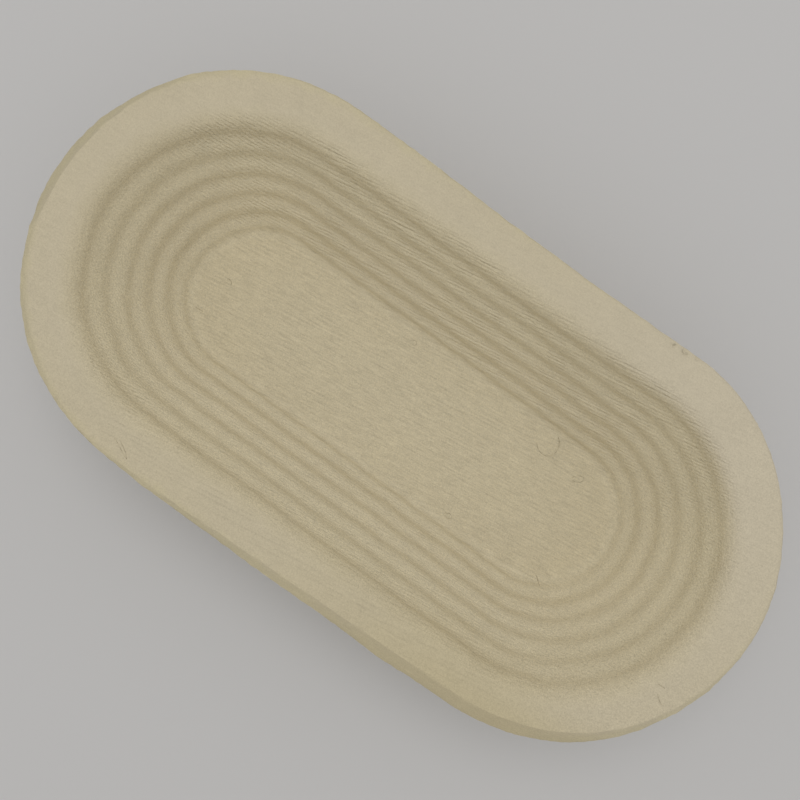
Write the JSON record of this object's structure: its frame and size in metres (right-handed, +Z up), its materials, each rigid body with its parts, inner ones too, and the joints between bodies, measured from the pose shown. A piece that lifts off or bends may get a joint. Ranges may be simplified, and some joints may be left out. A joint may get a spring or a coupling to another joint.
{
  "type": "proofing basket",
  "caption": "Long stadium-shaped proofing basket moulded from wood pulp, with a wide flat rim, five rounded ribs down its sloping wall and a flat floor, for a resting loaf of dough.",
  "frame": {"origin": "on the table plane, under the middle of the flat floor", "axes": "+X along the basket's long axis, +Y across it, +Z up out of the mouth"},
  "size_m": [0.336, 0.172, 0.064],
  "materials": {
    "pulp": "matte, fibrous, with faint pressed lines"
  },
  "bodies": {
    "root": {"pulp_basket": "pulp"}
  },
  "joints": []
}
